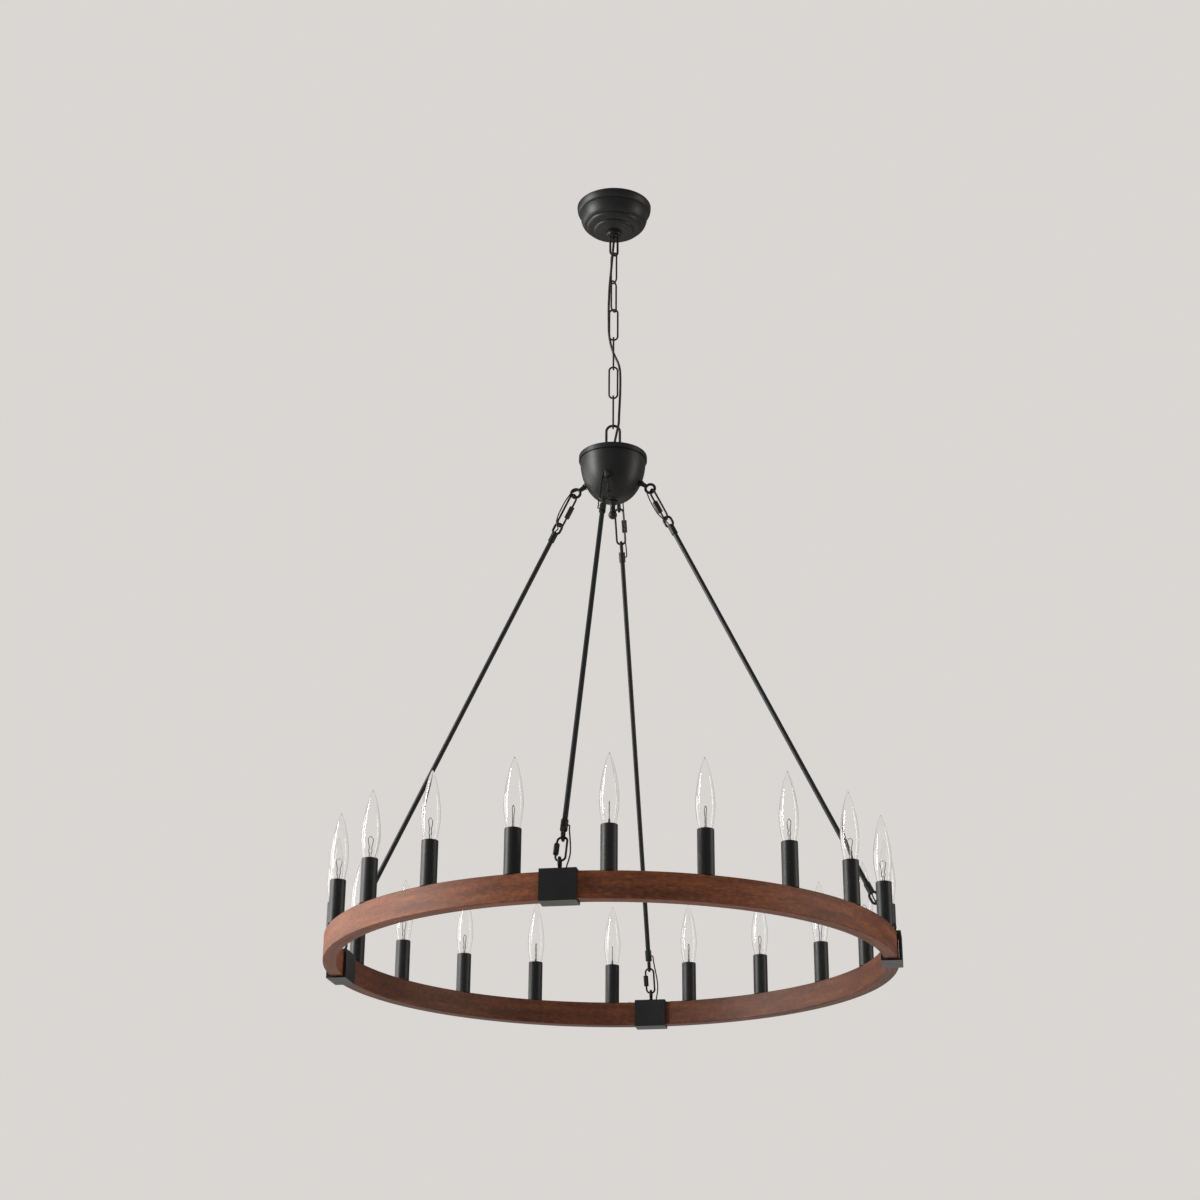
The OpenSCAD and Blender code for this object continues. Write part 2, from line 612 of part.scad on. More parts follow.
module candle_sleeves() color(black) for (k = [1:candles]) to_candle(k) difference() {
    cylinder(h = sleeve_h, d = sleeve_d);
    translate([0, 0, -lap]) cylinder(h = sleeve_h + 2 * lap, r = sleeve_d / 2 - sleeve_wall);
}

// A hollow glass on a cap with its contact below and its glass stem above
module bulb(k) to_candle(k) {
    rise = sleeve_h + bulb_h - glass_foot;
    line = smooth(bulb_outline, 2);
    last = len(line) - 1;
    outer = [for (p = line) [p[1] * bulb_d / 2, glass_foot + (1 - p[0]) * rise]];
    inner = [for (i = [last:-1:0]) if (outer[i][0] > 2 * glass_wall)
        [outer[i][0] - glass_wall, outer[i][1]]];
    tip = [0, inner[len(inner) - 1][1] + glass_wall];
    color(glass) rotate_extrude() polygon(concat([[0, outer[0][1]]], outer, inner, [tip]));
    color("goldenrod") rotate_extrude() polygon([[0, cap[1] - cap_foot[0]],
        [cap_foot[0], cap[1] - cap_foot[0]], [cap_foot[1], cap[1]], [cap[0], cap[1] + cap_foot[0]],
        [cap[0], cap[2]], [glass_stem[0], cap[2]], [glass_stem[0], sleeve_h + glass_stem[1]],
        [0, sleeve_h + glass_stem[2]]]);
}

// ---- Cord and wires ----

module supply_cord() color("#1B1B1C") rotate([0, 0, chain_turn])
    tube(smooth(cord_route, 2), cord_d, 10, [1, 0, 0]);

module upper_wires() color("#1B1B1C") for (i = [1:arms]) to_arm(i) on_line() on_side(upper_side[i - 1])
    tube([for (p = smooth(upper_route(i), 2)) [p[0], p[1], -p[2]]], wire_d, 8, [1, 0, 0]);

module lower_wires() color("#1B1B1C") for (i = [1:arms]) to_arm(i)
    translate([ring_mid, 0, -ring_drop]) on_side(lower_side[i - 1])
        tube(smooth(lower_route, 2), wire_d, 8, [1, 0, 0]);

crossbar();
ceiling_screws();
threaded_nipple();
canopy_loop();
canopy();
canopy_collar();
chain_link(1);  // chain_link_1
chain_link(2);  // chain_link_2
chain_link(3);  // chain_link_3
chain_link(4);  // chain_link_4
chain_link(5);  // chain_link_5
chain_link(6);  // chain_link_6
hub_loop();
hub_lid();
hub_bowl();
hub_tie_rod();
finial();
hub_eyes();
quick_link(1);  // quick_link_1
quick_link(2);  // quick_link_2
quick_link(3);  // quick_link_3
quick_link(4);  // quick_link_4
rod(1);  // rod_1
rod(2);  // rod_2
rod(3);  // rod_3
rod(4);  // rod_4
rim_segment(1);  // rim_segment_1
rim_segment(2);  // rim_segment_2
rim_segment(3);  // rim_segment_3
rim_segment(4);  // rim_segment_4
brackets();
bracket_eyes();
bracket_screws();
lower_links();
rim_covers();
lamp_sockets();
candle_sleeves();
bulb(1);  // bulb_01
bulb(2);  // bulb_02
bulb(3);  // bulb_03
bulb(4);  // bulb_04
bulb(5);  // bulb_05
bulb(6);  // bulb_06
bulb(7);  // bulb_07
bulb(8);  // bulb_08
bulb(9);  // bulb_09
bulb(10);  // bulb_10
bulb(11);  // bulb_11
bulb(12);  // bulb_12
bulb(13);  // bulb_13
bulb(14);  // bulb_14
bulb(15);  // bulb_15
bulb(16);  // bulb_16
bulb(17);  // bulb_17
bulb(18);  // bulb_18
bulb(19);  // bulb_19
bulb(20);  // bulb_20
supply_cord();
upper_wires();
lower_wires();
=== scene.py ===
import json
import math

import bpy
import numpy as np
from mathutils import Matrix


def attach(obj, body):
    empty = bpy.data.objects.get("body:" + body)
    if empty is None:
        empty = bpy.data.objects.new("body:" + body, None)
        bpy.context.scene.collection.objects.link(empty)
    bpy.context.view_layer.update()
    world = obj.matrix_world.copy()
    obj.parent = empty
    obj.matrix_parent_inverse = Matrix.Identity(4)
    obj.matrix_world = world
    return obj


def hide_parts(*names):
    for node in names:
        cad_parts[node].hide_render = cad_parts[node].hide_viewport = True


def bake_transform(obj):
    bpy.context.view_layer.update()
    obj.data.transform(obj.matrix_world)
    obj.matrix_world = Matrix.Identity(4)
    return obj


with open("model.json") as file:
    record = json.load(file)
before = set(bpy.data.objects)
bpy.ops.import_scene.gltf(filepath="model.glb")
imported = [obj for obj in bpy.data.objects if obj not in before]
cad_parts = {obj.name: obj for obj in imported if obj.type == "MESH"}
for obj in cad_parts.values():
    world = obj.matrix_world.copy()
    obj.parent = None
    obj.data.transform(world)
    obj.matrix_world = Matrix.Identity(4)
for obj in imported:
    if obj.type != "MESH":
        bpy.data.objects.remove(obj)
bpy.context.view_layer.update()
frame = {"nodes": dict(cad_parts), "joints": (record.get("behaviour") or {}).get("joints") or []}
mm = 0.001


# ---- Crossbar, ceiling screws, nipple and lock nut ----
# A pressed steel strip is drawn up to the ceiling by two screws, and a threaded nipple is locked in
# its middle. All are zinc plated, which leaves a bright grey with a faint cloudy lustre.

def linear(colour):
    """The linear RGBA of an sRGB hex colour, which is that of the sRGB curve undone."""
    share = np.array([int(colour[i:i + 2], 16) for i in (1, 3, 5)]) / 255
    light = np.where(share <= 0.04045, share / 12.92, ((share + 0.055) / 1.055) ** 2.4)
    return (*light.tolist(), 1)


def add_node(tree, kind, inputs=None, **settings):
    """Adds a node with its settings. An input is a value, or another node's output to link."""
    node = tree.nodes.new(kind)
    for name, value in settings.items():
        setattr(node, name, value)
    for socket, value in (inputs or {}).items():
        if isinstance(value, bpy.types.NodeSocket):
            tree.links.new(value, node.inputs[socket])
        else:
            node.inputs[socket].default_value = value
    return node


def new_material(name, **sockets):
    """A material of one Principled shader, with values for its sockets by name."""
    material = bpy.data.materials.new(name)
    material.use_nodes = True
    tree = material.node_tree
    tree.nodes.clear()
    values = {socket.replace("_", " "): value for socket, value in sockets.items()}
    shader = add_node(tree, "ShaderNodeBsdfPrincipled", values)
    add_node(tree, "ShaderNodeOutputMaterial", {"Surface": shader.outputs["BSDF"]})
    return material, tree, shader


def in_millimetres(tree, stretch=(1, 1, 1)):
    """The piece's own coordinates in millimetres, with each axis scaled by its stretch."""
    place = add_node(tree, "ShaderNodeTexCoord")
    scale = [s / mm for s in stretch]
    spread = add_node(tree, "ShaderNodeMapping", {"Vector": place.outputs["Object"], "Scale": scale})
    return spread.outputs["Vector"]


def zinc_plating():
    """Clouds 9 mm wide in the plating's lustre, over the fine marks of rolling along X."""
    material, tree, shader = new_material("zinc_plated_steel", Metallic=1)
    place = in_millimetres(tree)
    clouds = add_node(tree, "ShaderNodeTexNoise", {"Vector": place, "Scale": 1 / 9, "Detail": 3})
    tone = add_node(tree, "ShaderNodeValToRGB", {"Fac": clouds.outputs["Fac"]})
    tone.color_ramp.elements[0].color = linear("#9DA0A3")
    tone.color_ramp.elements[0].position = 0.35
    tone.color_ramp.elements[1].color = linear("#C9CBCC")
    tone.color_ramp.elements[1].position = 0.65
    gloss = add_node(tree, "ShaderNodeMapRange", {
        "Value": clouds.outputs["Fac"], "To Min": 0.22, "To Max": 0.42})
    rolled = add_node(tree, "ShaderNodeTexNoise", {
        "Vector": in_millimetres(tree, (0.05, 4, 4)), "Scale": 1, "Detail": 2})
    bump = add_node(tree, "ShaderNodeBump", {
        "Height": rolled.outputs["Fac"], "Strength": 0.3, "Distance": 0.01 * mm})
    tree.links.new(tone.outputs["Color"], shader.inputs["Base Color"])
    tree.links.new(gloss.outputs["Result"], shader.inputs["Roughness"])
    tree.links.new(bump.outputs["Normal"], shader.inputs["Normal"])
    return material


def surface(material, *names):
    """Puts one material on nodes of the frame."""
    for name in names:
        mesh = frame["nodes"][name].data
        mesh.materials.clear()
        mesh.materials.append(material)


zinc_plated_steel = zinc_plating()
surface(zinc_plated_steel, "crossbar", "ceiling_screws", "threaded_nipple", "hub_tie_rod")


# ---- Canopy, its collar nut and the loop that carries the chain ----
# The canopy is spun from 1.2 mm sheet in stepped tiers. All three are powder coated a satin black,
# which is evenly dark with a faint orange-peel ripple about 2 mm across.

def powder_coat(name, dark, pale, least, most):
    """Ripples 2 mm wide and at most 0.02 mm high, a slow drift in tone and gloss over 30 mm, and a
    grain 0.8 mm wide in the gloss."""
    material, tree, shader = new_material(name, IOR=1.46)
    place = in_millimetres(tree)
    drift = add_node(tree, "ShaderNodeTexNoise", {"Vector": place, "Scale": 1 / 30, "Detail": 4})
    tone = add_node(tree, "ShaderNodeMix", {
        "Factor": drift.outputs["Fac"], 6: linear(dark), 7: linear(pale)}, data_type="RGBA")
    grain = add_node(tree, "ShaderNodeTexNoise", {"Vector": place, "Scale": 1.3, "Detail": 2})
    blend = add_node(tree, "ShaderNodeMath", {
        0: drift.outputs["Fac"], 1: grain.outputs["Fac"]}, operation="ADD")
    gloss = add_node(tree, "ShaderNodeMapRange", {
        "Value": blend.outputs["Value"], "From Min": 0.7, "From Max": 1.3,
        "To Min": least, "To Max": most})
    ripple = add_node(tree, "ShaderNodeTexNoise", {"Vector": place, "Scale": 0.5, "Detail": 1})
    bump = add_node(tree, "ShaderNodeBump", {
        "Height": ripple.outputs["Fac"], "Strength": 0.35, "Distance": 0.02 * mm})
    tree.links.new(tone.outputs[2], shader.inputs["Base Color"])
    tree.links.new(gloss.outputs["Result"], shader.inputs["Roughness"])
    tree.links.new(bump.outputs["Normal"], shader.inputs["Normal"])
    return material


def turned(radius, height, sides, closed=False):
    """A profile turned round Z: the point (radius, height) at the angle a goes to (radius cos a,
    radius sin a, height). Its faces look outward where the profile runs down. A radius of 0 is
    one pole, and a closed profile runs back to its first point."""
    radius, height = np.asarray(radius, float), np.asarray(height, float)
    angle = np.arange(sides) * 2 * math.pi / sides
    level = np.repeat(height[:, None], sides, axis=1)
    across, deep = np.outer(radius, np.cos(angle)), np.outer(radius, np.sin(angle))
    points = np.stack([across, deep, level], axis=-1)
    index = np.arange(level.size).reshape(level.shape)
    index[radius == 0] = index[radius == 0][:, :1]
    upper = index if closed else index[:-1]
    lower = np.roll(index, -1, axis=0) if closed else index[1:]
    faces = np.stack([upper, lower, np.roll(lower, -1, axis=1), np.roll(upper, -1, axis=1)], axis=-1)
    faces = faces.reshape(-1, 4)
    faces = faces[(faces[:, 0] != faces[:, 3]) | (faces[:, 1] != faces[:, 2])]
    used, faces = np.unique(faces, return_inverse=True)
    return points.reshape(-1, 3)[used], faces.reshape(-1, 4)


def new_piece(name, points, faces, materials, slot, kinds=None, sharp=40):
    """A mesh at the origin from arrays, smooth except over edges sharper than an angle. A face
    that repeats a corner loses it, and kinds gives each face its material."""
    repeats = faces == np.roll(faces, -1, axis=1)
    whole = ~repeats.any(axis=1)
    kinds = np.zeros(len(faces), int) if kinds is None else kinds
    corners = faces[whole].tolist()
    corners += [face[~twice].tolist() for face, twice in zip(faces[~whole], repeats[~whole])]
    mesh = bpy.data.meshes.new(name)
    mesh.from_pydata(points.tolist(), [], corners)
    for material in materials:
        mesh.materials.append(material)
    mesh.polygons.foreach_set("material_index", np.concatenate([kinds[whole], kinds[~whole]]))
    mesh.shade_smooth()
    mesh.set_sharp_from_angle(angle=math.radians(sharp))
    piece = bpy.data.objects.new(name, mesh)
    bpy.context.scene.collection.objects.link(piece)
    return piece if slot else piece


def tiered_profile(radius, depth, hole, tiers, step):
    """Each tier is a quarter of an ellipse, upright at its outer end and level at its inner one:
    radius = inner + (outer - inner) cos a, depth = top + (bottom - top) sin a, for angles a that
    are a step in degrees apart."""
    ends = np.array([*tiers, [hole / radius, 1]]) * [radius, depth]
    angle = np.radians(np.arange(0, 90, step))
    outer, inner = ends[:-1, None, :], ends[1:, None, :]
    out = inner[..., 0] + (outer[..., 0] - inner[..., 0]) * np.cos(angle)
    down = outer[..., 1] + (inner[..., 1] - outer[..., 1]) * np.sin(angle)
    return np.append(out.ravel(), hole), np.append(-down.ravel(), -depth)


satin_black_powder_coat = powder_coat("satin_black_powder_coat", "#161819", "#1D1F21", 0.4, 0.5)
canopy_tiers = [[1, 0], [0.91, 0.265], [0.75, 0.72], [0.55, 0.865], [0.42, 0.965]]
canopy_r = 67 * mm
canopy_depth = 53.5 * mm
canopy_sheet = 1.2 * mm
canopy_hole = 11.5 * mm
outside = tiered_profile(canopy_r, canopy_depth, canopy_hole, canopy_tiers, step=5)
inside = [np.maximum(outside[0] - canopy_sheet, canopy_hole),
          np.minimum(outside[1] + canopy_sheet, 0)]
spun = turned(np.append(outside[0], inside[0][::-1]), np.append(outside[1], inside[1][::-1]),
              sides=160, closed=True)
canopy = new_piece("canopy_spun", *spun, [satin_black_powder_coat], "black_metal")
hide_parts("canopy")
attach(canopy, "canopy_cover")
surface(satin_black_powder_coat, "canopy_collar", "canopy_loop")


# ---- Chain ----
# Six oval links are bent from 3.2 mm round wire and closed. They are powder coated with the loop,
# so they have its satin black.

surface(satin_black_powder_coat, *[f"chain_link_{k}" for k in range(1, 7)])


# ---- Supply cord ----
# A round flexible cord 4.3 mm thick in a black PVC sheath comes out of the nipple between the loop's
# legs, is woven down the chain and goes through the hub's lid. Its sheath has a soft sheen.

def smooth_route(route, steps):
    """Points of a Catmull-Rom curve, which goes through each point of the route with the direction
    from the one before it to the one after it."""
    route = np.asarray(route, float)
    padded = np.vstack([route[:1], route, route[-1:]])
    before, start, end, after = (padded[i:i + len(route) - 1, None, :] for i in range(4))
    t = (np.arange(steps) / steps)[None, :, None]
    curve = 0.5 * (2 * start + (end - before) * t + (2 * before - 5 * start + 4 * end - after) * t**2
                   + (3 * start - before - 3 * end + after) * t**3)
    return np.vstack([curve.reshape(-1, 3), route[-1:]])


def round_tube(path, radius, sides, across=(1, 0, 0)):
    """A round section carried along a path. Each ring stands square to the way there, which is
    from the point before to the point after, and starts square to the across direction too."""
    path = np.asarray(path, float)
    way = np.gradient(path, axis=0)
    way /= np.linalg.norm(way, axis=1, keepdims=True)
    first = np.cross(way, across)
    first /= np.linalg.norm(first, axis=1, keepdims=True)
    second = np.cross(first, way)
    angle = (np.arange(sides) * 2 * math.pi / sides)[None, :, None]
    outward = np.cos(angle) * first[:, None] + np.sin(angle) * second[:, None]
    rings = path[:, None] + radius * outward
    index = np.arange(len(path) * sides).reshape(len(path), sides)
    ahead, behind = index[1:], index[:-1]
    walls = np.stack([behind, ahead, np.roll(ahead, -1, axis=1), np.roll(behind, -1, axis=1)],
                     axis=-1)
    ends = np.array([len(path) * sides, len(path) * sides + 1])
    first_end, last_end = np.full(sides, ends[0]), np.full(sides, ends[1])
    start = np.stack([index[0], np.roll(index[0], -1), first_end, first_end], axis=-1)
    close = np.stack([np.roll(index[-1], -1), index[-1], last_end, last_end], axis=-1)
    points = np.vstack([rings.reshape(-1, 3), path[[0, -1]]])
    return points, np.vstack([walls.reshape(-1, 4), start, close])


def turned_about_z(points, angle):
    """Points turned by an angle about the Z axis."""
    c, s = math.cos(angle), math.sin(angle)
    return np.asarray(points) @ np.array([[c, s, 0], [-s, c, 0], [0, 0, 1]])


def soft_sheath(name, colour, roughness):
    """A faint drag of the extruder, in ripples 1 mm wide, over an even black."""
    material, tree, shader = new_material(name, IOR=1.53)
    place = in_millimetres(tree)
    drag = add_node(tree, "ShaderNodeTexNoise", {"Vector": place, "Scale": 1, "Detail": 2})
    tone = add_node(tree, "ShaderNodeMix", {
        "Factor": drag.outputs["Fac"], 6: linear(colour), 7: linear("#2A2A2B")}, data_type="RGBA")
    gloss = add_node(tree, "ShaderNodeMapRange", {
        "Value": drag.outputs["Fac"], "To Min": roughness - 0.06, "To Max": roughness + 0.06})
    bump = add_node(tree, "ShaderNodeBump", {
        "Height": drag.outputs["Fac"], "Strength": 0.4, "Distance": 0.02 * mm})
    tree.links.new(tone.outputs[2], shader.inputs["Base Color"])
    tree.links.new(gloss.outputs["Result"], shader.inputs["Roughness"])
    tree.links.new(bump.outputs["Normal"], shader.inputs["Normal"])
    return material


black_pvc_sheath = soft_sheath("black_pvc_sheath", "#171718", 0.4)
cord_r = 2.15 * mm
chain_turn = math.radians(9)
cord_route = np.array([
    [0, 0, -8], [0, 0, -35], [0, 0, -56], [-0.2, -0.8, -67], [-0.8, -3, -80], [-1.6, -5.2, -92],
    [-2.4, -5.8, -103], [-3.4, -5.4, -116], [-4.6, -4.6, -131], [-6, -2.4, -146], [-7.2, -0.6, -160],
    [-8, 0, -175], [-8.4, -1.4, -193], [-8.8, -3.9, -207], [-8.8, -5, -222], [-8.4, -5.4, -255],
    [-7.4, -5, -270], [-4.6, -3, -286], [0, -1, -301], [4.6, -0.4, -312], [8.6, -0.8, -322],
    [11.3, -1, -334], [12.2, -1, -350], [12.2, -1, -375], [11.4, -2, -400], [10.4, -4, -425],
    [9.6, -6.4, -445], [6, -9.2, -465], [2.6, -10.5, -485], [1.5, -10.6, -503], [1.5, -10.6, -520],
    [1.5, -10.6, -535]]) * mm
cord_line = turned_about_z(smooth_route(cord_route, steps=6), chain_turn)
carriers = ["ceiling_mount", "link_6", "link_5", "link_4", "link_3", "link_2", "link_1", "hub"]
chain_hinges = {f"{carrier}_swing" for carrier in carriers[1:]}
hinge_heights = [joint["pos_m"][2] for joint in frame["joints"] if joint["name"] in chain_hinges]
half_pitch = (hinge_heights[0] - hinge_heights[1]) / 2
cuts = [0, *[h - half_pitch for h in hinge_heights[:-1]], cord_line[-1, 2]]
for k, height in enumerate(hinge_heights):
    inside_piece = (cord_line[:, 2] <= cuts[k]) & (cord_line[:, 2] >= cuts[k + 1])
    rows = np.flatnonzero(inside_piece)
    path = cord_line[rows[0]:min(rows[-1] + 2, len(cord_line))]
    stretch = new_piece(f"supply_cord_{k + 1}", *round_tube(path, cord_r, sides=20),
                        [black_pvc_sheath], "black_cord", sharp=60)
    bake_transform(stretch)
    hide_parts("supply_cord")


# ---- Hub: loop, lid, bowl, finial and eyes ----
# The loop is a bent rod on a flat foot. The lid and the bowl are spun steel, held together by a tie
# rod and the finial, and four eye bolts go through the bowl. All that shows is powder coated.

def bowl_profile(radius, top, depth, power, points):
    """The radius falls off as a power of the depth: radius = widest (1 - share^p)^(1/p), where
    the share of the depth is the sine of an even angle."""
    share = np.sin(np.linspace(0, math.pi / 2, points))
    return radius * (1 - share ** power) ** (1 / power), top - depth * share


hub_top = -504.5 * mm
bowl_top = hub_top - 1.8 * mm
bowl_r = 57 * mm
bowl_depth = 86.2 * mm
bowl_power = 2.2
bowl_wall = 1.5 * mm
outside = bowl_profile(bowl_r, bowl_top, bowl_depth, bowl_power, points=60)
inside = bowl_profile(bowl_r - bowl_wall, bowl_top, bowl_depth - bowl_wall, bowl_power, points=60)
spun = turned(np.append(outside[0], inside[0][::-1]), np.append(outside[1], inside[1][::-1]),
              sides=160)
bowl = new_piece("hub_bowl_spun", *spun, [satin_black_powder_coat], "black_metal")
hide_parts("hub_bowl")
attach(bowl, "hub")
surface(satin_black_powder_coat, "hub_loop", "hub_lid", "finial", "hub_eyes")


# ---- Rods, long links and short links ----
# Each rod is an 8 mm tube with an eye fitting pressed on both ends. A long link with a sleeve nut
# holds it to the hub, and a short one holds the ring. They are powder coated like the chain.

arms = range(1, 5)
surface(satin_black_powder_coat, "lower_links", *[f"rod_{i}" for i in arms],
        *[f"quick_link_{i}" for i in arms])


# ---- Upper lamp wires ----
# A thin black wire leaves the bowl beside each eye, hangs beside the long link and goes into a hole
# in the rod's ferrule. It has a soft PVC sheath.

def arm_angle(i):
    """Arm 1 points to -Y, arm 2 to +X, arm 3 to +Y and arm 4 to -X."""
    return math.radians(90 * (i - 2))


hub_eye = np.array([65, 0, -571]) * mm
rod_run, rod_fall = 374.5, 780
lean = math.atan2(rod_run, rod_fall)
wire_r = 1.1 * mm
black_wire_sheath = soft_sheath("black_wire_sheath", "#131314", 0.45)
upper_start = [[-13.7, -8.5, -24.4], [-9.3, -8.5, -16.6], [-6, -8.6, -6]]
upper_middle = [
    [[-4, -9.4, 5], [-3, -9.8, 20], [-3, -9.8, 37], [-3, -9.8, 54], [-3.6, -9.2, 66]],
    [[-8, -9.4, 5], [-10.5, -9.6, 20], [-11, -9.8, 37], [-10, -9.6, 54], [-6.6, -9.2, 66]],
    [[-5.6, -8.8, 5], [-6.8, -8.8, 20], [-7, -8.8, 37], [-6.4, -8.6, 54], [-5, -8.6, 66]],
    [[3.2, -9.6, 5], [6.6, -9.6, 20], [7.2, -9.6, 37], [6.4, -9.6, 54], [3, -9.2, 66]]]
upper_end = [
    [-3.8, -8.8, 74], [-2.2, -8.6, 80], [-0.8, -8.4, 85.5], [-0.2, -7.4, 88.1], [0, -4.6, 89.1]]
outward = np.array([math.cos(lean), 0, math.sin(lean)])
down_rod = np.array([math.sin(lean), 0, -math.cos(lean)])
along_ring = np.array([0, 1, 0])
for i in arms:
    side = -1 if i == 4 else 1
    route = np.array([*upper_start, *upper_middle[i - 1], *upper_end]) * [1, side, 1] * mm
    beside_rod = smooth_route(route, steps=5) @ np.stack([outward, along_ring, down_rod])
    path = turned_about_z(hub_eye + beside_rod, arm_angle(i))
    across = turned_about_z(outward, arm_angle(i))
    wire = new_piece(f"upper_wire_{i}", *round_tube(path, wire_r, 12, across),
                     [black_wire_sheath], "black_cord", sharp=60)
    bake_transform(wire)
    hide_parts("upper_wires")


# ---- Ring ----
# Four curved quarters of solid hardwood, 21 by 40 mm, are stained a red walnut brown and sealed with
# a satin lacquer. The grain follows the curve. The two near quarters are painted lighter and the two
# far ones darker, as painted light and shade on one stain.

ring_mid = 439.5 * mm
ring_top = -1365.5 * mm


def stained_wood(name, painted_light_level, shift):
    """The grain is drawn in a frame of its own: the way along the ring, out from its axis and up,
    all in mm. Figure is 90 by 12 mm and mottle 8 by 5 mm. Fibres of 14 by 1 mm and pores of 4 by
    0.6 mm are coarser than real ones, so that they show. The stain's colours are times a painted
    light level, which paints a quarter lighter where light fell on it and darker where it is in
    shade, and a shift in mm gives the piece a pattern of its own."""
    material, tree, shader = new_material(name, IOR=1.47)
    stain = [(*(np.array(linear(colour)[:3]) * painted_light_level).tolist(), 1)
             for colour in ("#431F0A", "#6C3718", "#96552D", "#271209")]
    place = add_node(tree, "ShaderNodeTexCoord")
    axes = add_node(tree, "ShaderNodeSeparateXYZ", {"Vector": place.outputs["Object"]})
    turn = add_node(tree, "ShaderNodeMath", {
        0: axes.outputs["Y"], 1: axes.outputs["X"]}, operation="ARCTAN2")
    along = add_node(tree, "ShaderNodeMath", {
        0: turn.outputs["Value"], 1: ring_mid / mm}, operation="MULTIPLY")
    level = add_node(tree, "ShaderNodeCombineXYZ", {"X": axes.outputs["X"], "Y": axes.outputs["Y"]})
    out = add_node(tree, "ShaderNodeVectorMath", {0: level.outputs["Vector"]}, operation="LENGTH")
    out_mm = add_node(tree, "ShaderNodeMath", {
        0: out.outputs["Value"], 1: 1 / mm}, operation="MULTIPLY")
    up_mm = add_node(tree, "ShaderNodeMath", {
        0: axes.outputs["Z"], 1: 1 / mm}, operation="MULTIPLY")
    up = add_node(tree, "ShaderNodeMath", {0: up_mm.outputs["Value"], 1: shift}, operation="ADD")
    grain = add_node(tree, "ShaderNodeCombineXYZ", {
        "X": along.outputs["Value"], "Y": out_mm.outputs["Value"], "Z": up.outputs["Value"]})
    sizes = {"figure": (90, 12), "mottle": (8, 5), "fibre": (14, 1), "pore": (4, 0.6)}
    noise = {}
    for pattern, (length, width) in sizes.items():
        spread = add_node(tree, "ShaderNodeMapping", {
            "Vector": grain.outputs["Vector"], "Scale": (1 / length, 1 / width, 1 / width)})
        noise[pattern] = add_node(tree, "ShaderNodeTexNoise", {
            "Vector": spread.outputs["Vector"], "Scale": 1, "Detail": 4, "Roughness": 0.55})
    mixed = noise["figure"].outputs["Fac"]
    for pattern, weight in (("mottle", 0.42), ("fibre", 0.35)):
        mixed = add_node(tree, "ShaderNodeMix", {
            "Factor": weight, "A": mixed, "B": noise[pattern].outputs["Fac"]}).outputs["Result"]
    tone = add_node(tree, "ShaderNodeValToRGB", {"Fac": mixed})
    ramp = tone.color_ramp
    ramp.elements[0].position, ramp.elements[0].color = 0.36, stain[0]
    ramp.elements[1].position, ramp.elements[1].color = 0.66, stain[2]
    middle = ramp.elements.new(0.5)
    middle.color = stain[1]
    pores = add_node(tree, "ShaderNodeMapRange", {
        "Value": noise["pore"].outputs["Fac"], "From Min": 0.6, "From Max": 0.7})
    dark = add_node(tree, "ShaderNodeMath", {
        0: pores.outputs["Result"], 1: 0.55}, operation="MULTIPLY")
    colour = add_node(tree, "ShaderNodeMix", {
        "Factor": dark.outputs["Value"], 6: tone.outputs["Color"], 7: stain[3]},
        data_type="RGBA")
    gloss = add_node(tree, "ShaderNodeMapRange", {
        "Value": noise["mottle"].outputs["Fac"], "To Min": 0.5, "To Max": 0.66})
    depth = add_node(tree, "ShaderNodeMath", {
        0: pores.outputs["Result"], 1: -1, 2: noise["fibre"].outputs["Fac"]},
        operation="MULTIPLY_ADD")
    bump = add_node(tree, "ShaderNodeBump", {
        "Height": depth.outputs["Value"], "Strength": 0.5, "Distance": 0.04 * mm})
    tree.links.new(colour.outputs[2], shader.inputs["Base Color"])
    tree.links.new(gloss.outputs["Result"], shader.inputs["Roughness"])
    tree.links.new(bump.outputs["Normal"], shader.inputs["Normal"])
    return material


# Lit and shaded copies of one stain: the near quarters 1 and 4 are times 1.25 as painted light, and
# the far quarters 2 and 3 times 0.78 and 0.75 as painted shade.
stain_under_painted_light = {painted_light: stained_wood(f"walnut_stain_painted_{painted_light}_under_satin_lacquer", painted_light_level, shift)
           for painted_light, painted_light_level, shift in (("light", 1.25, 97), ("mid", 0.78, 194), ("dark", 0.75, 291))}
for i, painted_light in zip(arms, ("light", "mid", "dark", "light")):
    surface(stain_under_painted_light[painted_light], f"rim_segment_{i}")


# ---- Brackets, their eyes and screws, and the cover strips ----
# Box brackets of folded sheet close the ring's joints. Each carries a standing eye, and black wood
# screws hold the brackets and the strips that cover the wire groove.

surface(satin_black_powder_coat, "brackets", "bracket_eyes", "rim_covers")
surface(powder_coat("blackened_screw_steel", "#2B2D2F", "#383A3C", 0.3, 0.42), "bracket_screws")


# ---- Lower lamp wires ----
# A thin wire leaves each rod's lower ferrule, loops out beside the short link and goes down through
# the bracket's top to the lamps.

lower_route = np.array([
    [0, 9, -6], [0, 9, 2], [-0.5, 9.8, 9], [-3.5, 11.8, 18], [-8, 13.2, 29], [-13.5, 12.4, 41],
    [-19, 10.9, 52], [-24, 9.2, 63], [-26.5, 8.3, 69.7], [-29, 8, 74.9], [-30, 7.1, 77],
    [-30.4, 4.6, 77.8]]) * mm
lower_line = smooth_route(lower_route, steps=5) + [ring_mid, 0, ring_top]
for i in arms:
    side = -1 if i == 3 else 1
    path = turned_about_z(lower_line * [1, side, 1], arm_angle(i))
    across = turned_about_z((1, 0, 0), arm_angle(i))
    wire = new_piece(f"lower_wire_{i}", *round_tube(path, wire_r, 12, across),
                     [black_wire_sheath], "black_cord", sharp=60)
    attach(wire, "ring")
    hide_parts("lower_wires")


# ---- Lamp cups ----
# Each cup is moulded in black phenolic resin on a threaded stem, nutted through the cover strip. It
# hides inside its sleeve, with a dull even skin from the mould.

